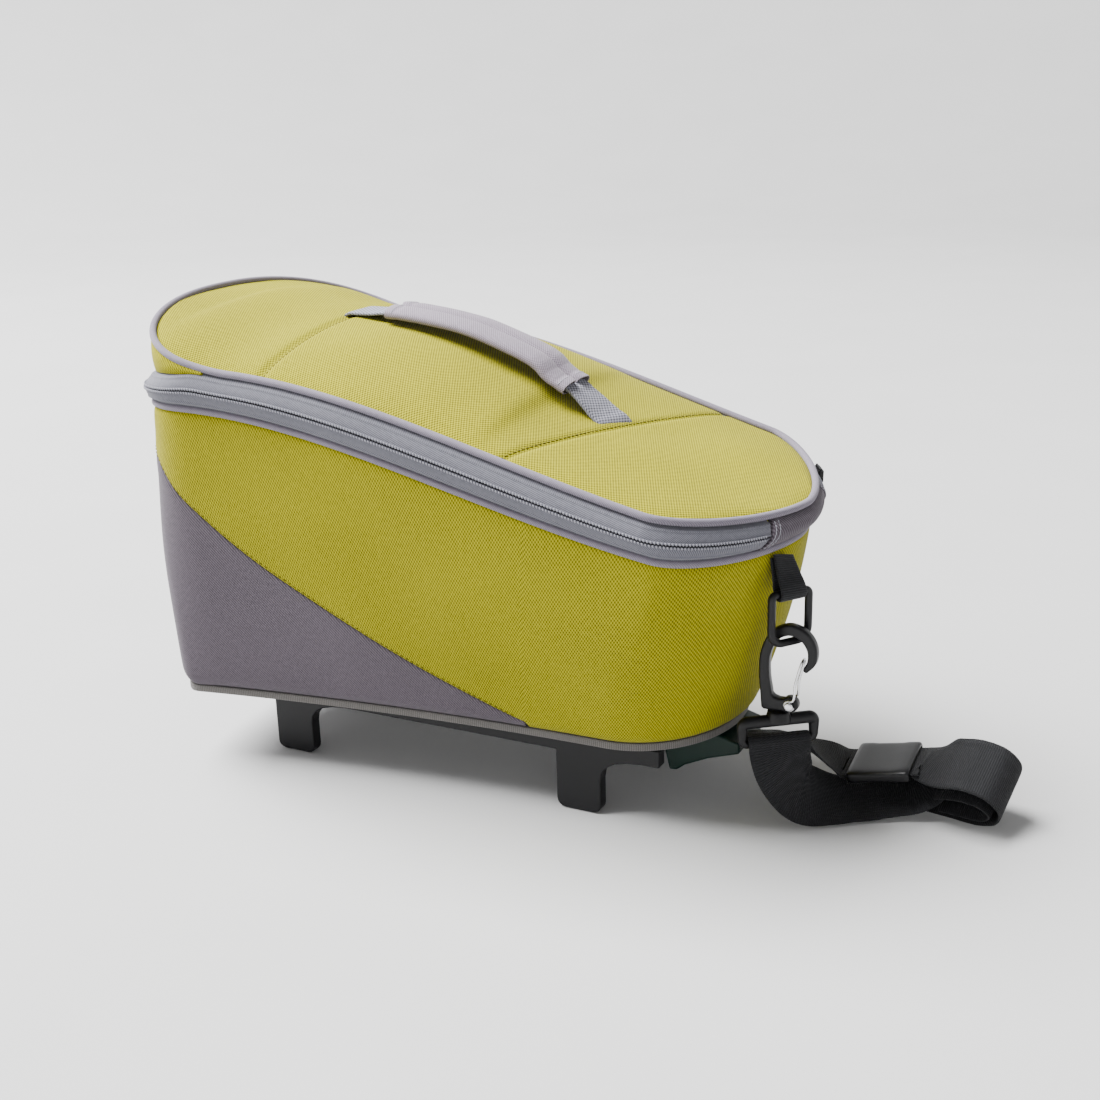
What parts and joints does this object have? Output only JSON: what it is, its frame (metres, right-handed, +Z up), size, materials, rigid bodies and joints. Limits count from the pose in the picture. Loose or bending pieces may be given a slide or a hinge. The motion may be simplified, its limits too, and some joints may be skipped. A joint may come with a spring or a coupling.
{
  "type": "bicycle trunk bag",
  "caption": "Padded bicycle trunk bag with a sloping zipped lid, carry handle, rack adapter with release lever, and a clipped webbing strap.",
  "frame": {"origin": "on the floor under the feet, at the middle of the bounding box in X and Y", "axes": "+X towards the narrow end with the clip and the lever, -Y towards the near long side of the picture, +Z up"},
  "size_m": [0.4904, 0.2226, 0.2775],
  "materials": {
    "green_fabric": "matt woven",
    "grey_fabric": "matt woven",
    "binding_tape": "ribbed tape",
    "piping": "woven",
    "zip_tape": "ribbed tape",
    "zip_coil": "satin coil",
    "grey_webbing": "ribbed webbing",
    "grip_fabric": "matt woven",
    "black_webbing": "ribbed webbing",
    "black_plastic": "fine texture",
    "green_plastic": "satin",
    "steel": "bright"
  },
  "bodies": {
    "bag": {"tub_side_panel": "green_fabric", "tub_wedge_panel": "grey_fabric", "bottom_binding": "binding_tape", "tub_bottom": "grey_fabric", "lower_piping": "piping", "upper_piping": "piping", "zip_tape_lower": "zip_tape", "zip_coil": "zip_coil", "zip_tape_upper": "zip_tape", "hinge_patch": "grey_fabric", "zip_slider": "black_plastic", "lid_rear_gusset": "green_fabric", "lid_rear_panel": "green_fabric", "lid_centre_panel": "green_fabric", "lid_front_panel": "green_fabric", "handle_webbing": "grey_webbing", "handle_grip": "grip_fabric", "adapter_rail_near": "black_plastic", "adapter_rail_far": "black_plastic", "adapter_plate": "black_plastic", "lever_pin": "steel", "ring_loop_webbing": "black_webbing", "strap_ring": "black_plastic", "snap_hook": "black_plastic", "gate_rivet": "steel", "strap_frame": "black_plastic", "shoulder_strap": "black_webbing", "strap_adjuster": "black_plastic"},
    "gate": {"hook_gate": "steel"},
    "lever": {"release_lever": "green_plastic"}
  },
  "joints": [
    {"name": "gate_hinge", "type": "hinge", "parent": "bag", "child": "gate", "pos_m": [0.13793, -0.03341, 0.07461], "axis": [0.0349, -0.9994, 0], "range_deg": [0, 25], "stiffness_Nm_per_rad": 0.005, "springref_deg": -20.05},
    {"name": "lever_hinge", "type": "hinge", "parent": "bag", "child": "lever", "pos_m": [0.06557, 0, 0.03865], "axis": [0, 1, 0], "range_deg": [0, 12], "stiffness_Nm_per_rad": 0.05, "springref_deg": -17.19}
  ]
}
